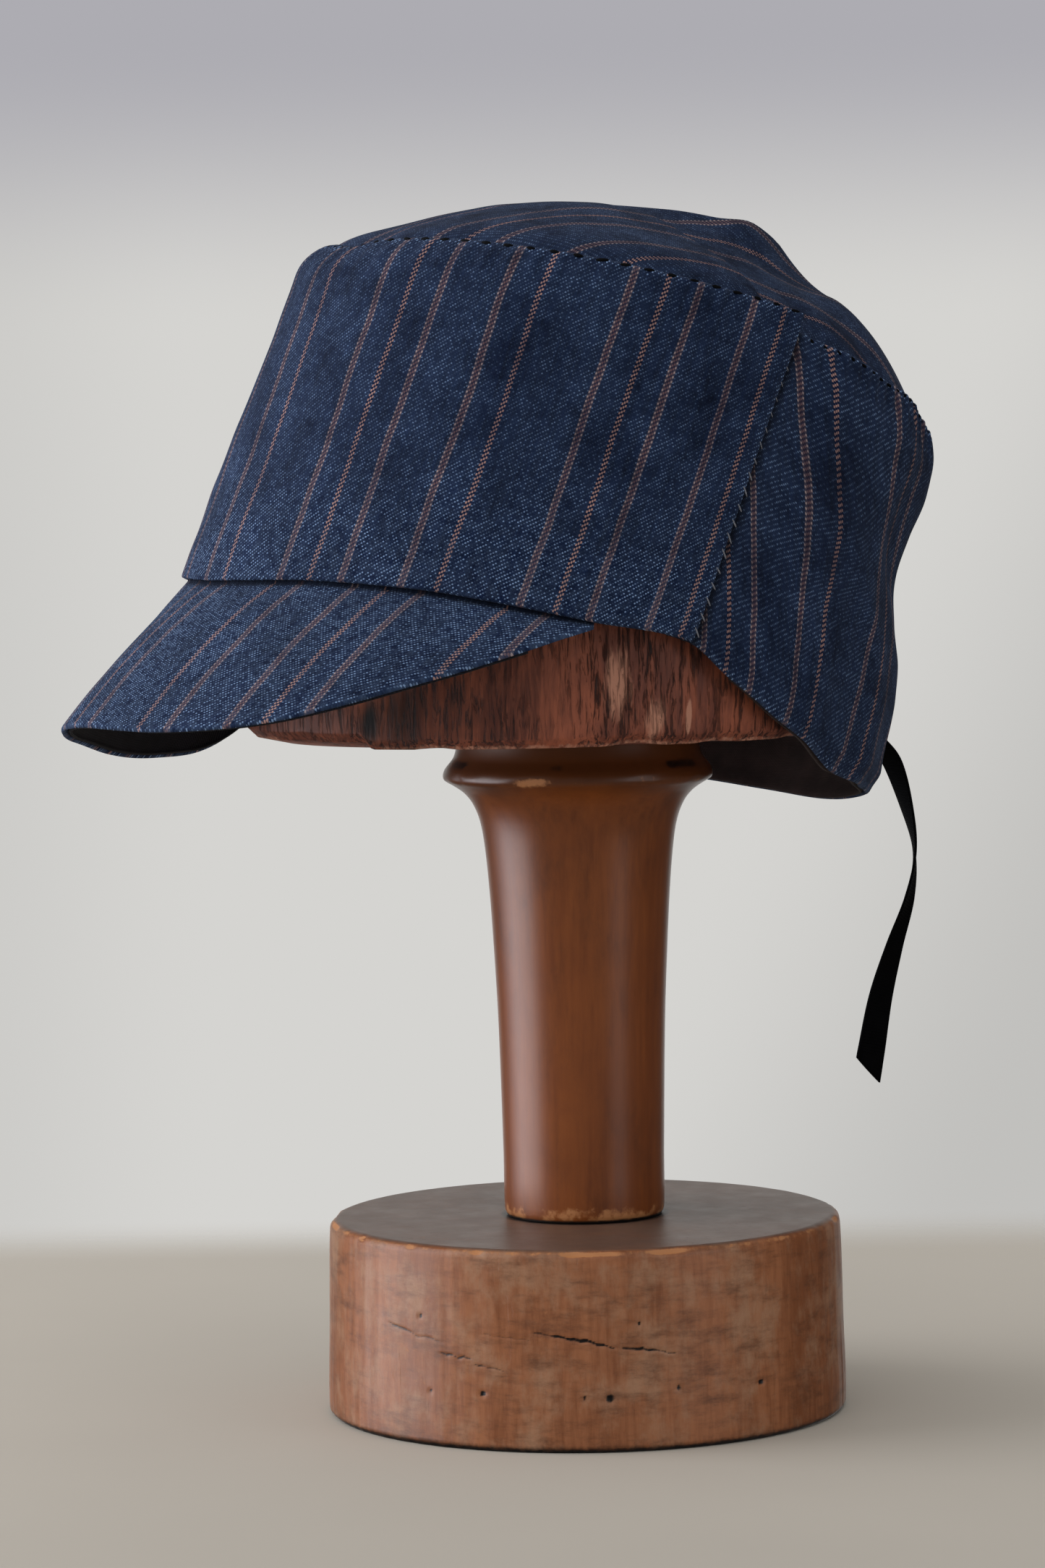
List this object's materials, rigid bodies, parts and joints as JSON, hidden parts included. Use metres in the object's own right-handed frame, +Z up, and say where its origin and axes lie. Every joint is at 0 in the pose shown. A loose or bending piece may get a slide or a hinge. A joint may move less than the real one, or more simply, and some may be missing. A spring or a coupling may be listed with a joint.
{
  "type": "field cap on a wooden hat stand",
  "caption": "Soft hand-sewn field cap of pinstriped indigo cloth with a drooping peak, a dropped back and a ribbon tie, resting on a turned wooden hat stand.",
  "frame": {"origin": "middle of the stand base's underside, on the table", "axes": "+Z up the stand, -Y the way the cap's peak faces, +X the wearer's left"},
  "size_m": [0.1708, 0.272, 0.3339],
  "materials": {
    "striped_denim": "matte indigo twill with brown pinstripes",
    "dark_lining": "matte dark cloth",
    "brown_lining": "matte dark brown cloth",
    "black_ribbon": "ribbed ribbon with a dull sheen",
    "dark_wood": "worn dark red-brown wood",
    "stem_wood": "satin polished turned wood",
    "base_wood": "worn satin turned wood"
  },
  "bodies": {
    "root": {"front_panel": "striped_denim", "back_panel": "striped_denim", "crown_top": "striped_denim", "peak": "striped_denim", "peak_lining": "dark_lining", "back_lining": "brown_lining", "ribbon_tie": "black_ribbon", "hat_block": "dark_wood", "stand_stem": "stem_wood", "stand_base": "base_wood"}
  },
  "joints": []
}
